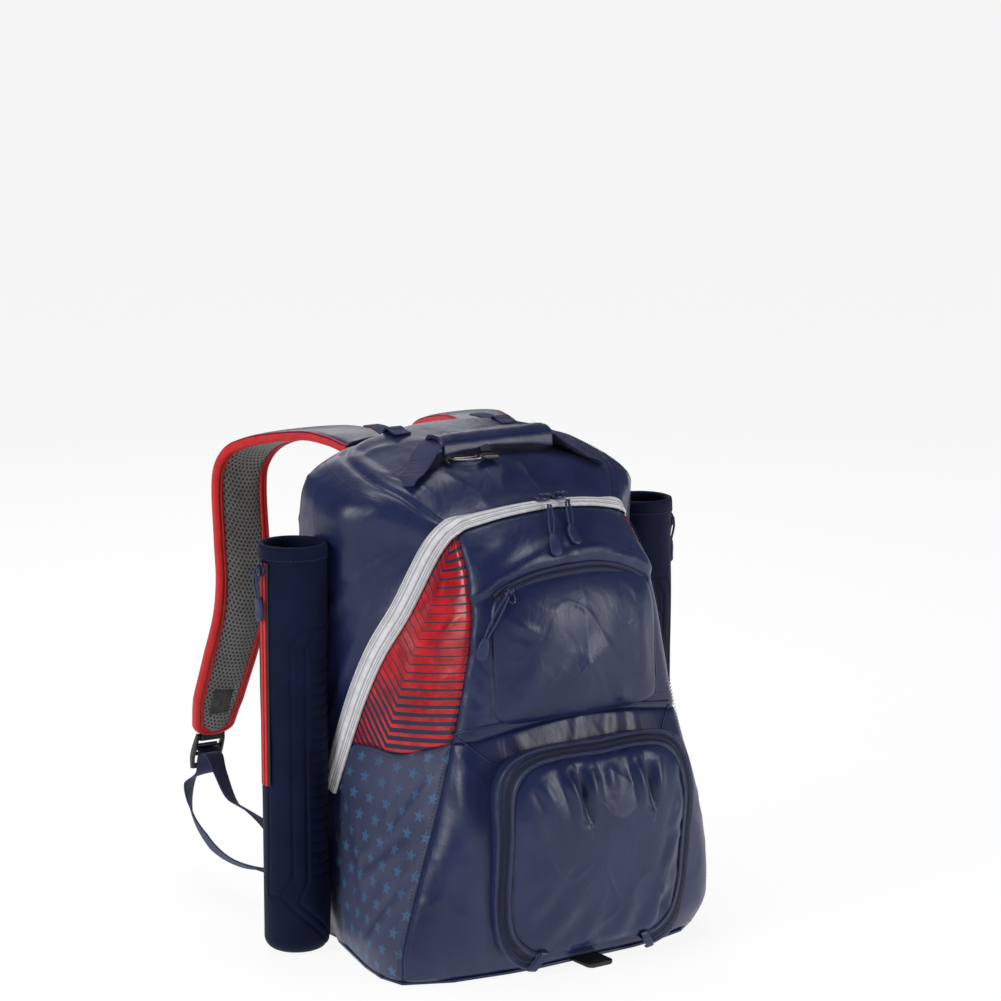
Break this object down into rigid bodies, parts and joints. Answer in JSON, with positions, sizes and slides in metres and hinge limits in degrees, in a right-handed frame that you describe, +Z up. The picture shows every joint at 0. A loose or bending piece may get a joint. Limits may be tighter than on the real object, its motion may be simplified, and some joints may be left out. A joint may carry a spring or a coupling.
{
  "type": "baseball bat backpack",
  "caption": "Standing backpack with a hollow main compartment, arched zip, front pockets, open bat sleeves at both sides and padded shoulder straps.",
  "frame": {"origin": "middle of the base panel, on the floor", "axes": "+Z up, +X to the right seen from the front, -Y out of the front, so +Y points to the wearer's back"},
  "size_m": [0.4914, 0.5101, 0.49],
  "materials": {
    "body_fabric": "coated navy nylon, soft sheen",
    "star_fabric": "coated navy fabric with a small pale blue star print",
    "chevron_print": "glossy red chevron print on navy fabric",
    "white_zip": "white woven zip tape",
    "navy_zip": "navy zip tape with a nylon coil",
    "sleeve_knit": "embossed navy knit foam",
    "webbing": "ribbed navy webbing",
    "red_trim": "red knit binding and red zip tape",
    "air_mesh": "grey spacer mesh",
    "pull_rubber": "moulded navy zip pull on a cord",
    "black_plastic": "moulded black plastic",
    "slider_metal": "black and dark steel fittings"
  },
  "bodies": {
    "root": {"main_shell": "body_fabric", "front_panel": "body_fabric", "lower_front": "body_fabric", "lower_pocket": "body_fabric", "middle_pocket": "body_fabric", "base_panel": "body_fabric", "handle_grip": "body_fabric", "side_panel_left": "star_fabric", "side_panel_right": "star_fabric", "gusset_left": "chevron_print", "gusset_right": "chevron_print", "main_zip": "white_zip", "lower_pocket_zip": "navy_zip", "middle_pocket_zip": "navy_zip", "sleeve_left": "sleeve_knit", "sleeve_right": "sleeve_knit", "sleeve_rim_left": "webbing", "sleeve_rim_right": "webbing", "lower_webbing_left": "webbing", "lower_webbing_right": "webbing", "webbing_tail_left": "webbing", "webbing_tail_right": "webbing", "handle_webbing_left": "webbing", "handle_webbing_right": "webbing", "strap_tab_left": "webbing", "strap_tab_right": "webbing", "sleeve_zip_left": "red_trim", "sleeve_zip_right": "red_trim", "strap_binding_left": "red_trim", "strap_binding_right": "red_trim", "strap_left": "air_mesh", "strap_right": "air_mesh", "back_pad": "air_mesh", "main_zip_pull_left": "pull_rubber", "main_zip_pull_right": "pull_rubber", "sleeve_pull_left": "pull_rubber", "sleeve_pull_right": "pull_rubber", "buckle_left": "black_plastic", "buckle_right": "black_plastic", "front_foot": "black_plastic", "main_zip_slider_left": "slider_metal", "main_zip_slider_right": "slider_metal", "sleeve_slider_left": "slider_metal", "sleeve_slider_right": "slider_metal", "fence_hook": "slider_metal"}
  },
  "joints": []
}
